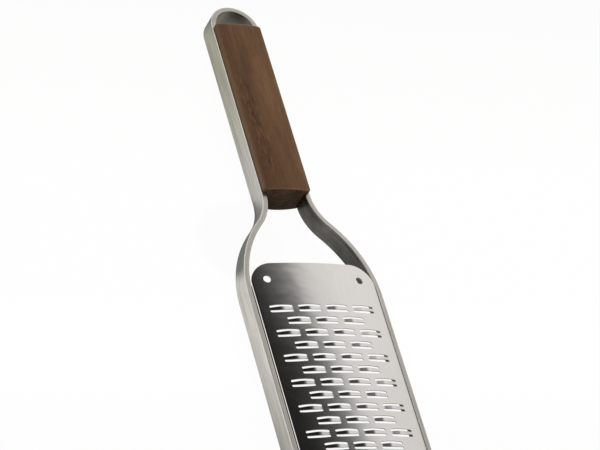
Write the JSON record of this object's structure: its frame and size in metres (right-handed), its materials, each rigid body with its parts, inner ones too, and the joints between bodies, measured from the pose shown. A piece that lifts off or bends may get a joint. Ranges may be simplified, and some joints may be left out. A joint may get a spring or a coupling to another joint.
{
  "type": "rasp grater",
  "caption": "Hand-held rasp grater: bent steel strap frame with a hanging loop, walnut handle block and arched grating blade with raised bridge teeth.",
  "frame": {"origin": "middle of the grater's outline, on the surface that its back rests on", "axes": "+Y along the grater towards the hanging loop, +Z out of the grating face, X across"},
  "size_m": [0.076, 0.32, 0.0185],
  "materials": {
    "strap_steel": "brushed along the strap",
    "walnut": "oiled, grain along the handle",
    "pin_steel": "plain",
    "blade_steel": "fine satin, nearly polished",
    "foot_rubber": "matte"
  },
  "bodies": {
    "root": {"frame_band": "strap_steel", "handle_block": "walnut", "handle_pin_upper": "pin_steel", "handle_pin_lower": "pin_steel", "grating_blade": "blade_steel", "toe_foot": "foot_rubber"}
  },
  "joints": []
}
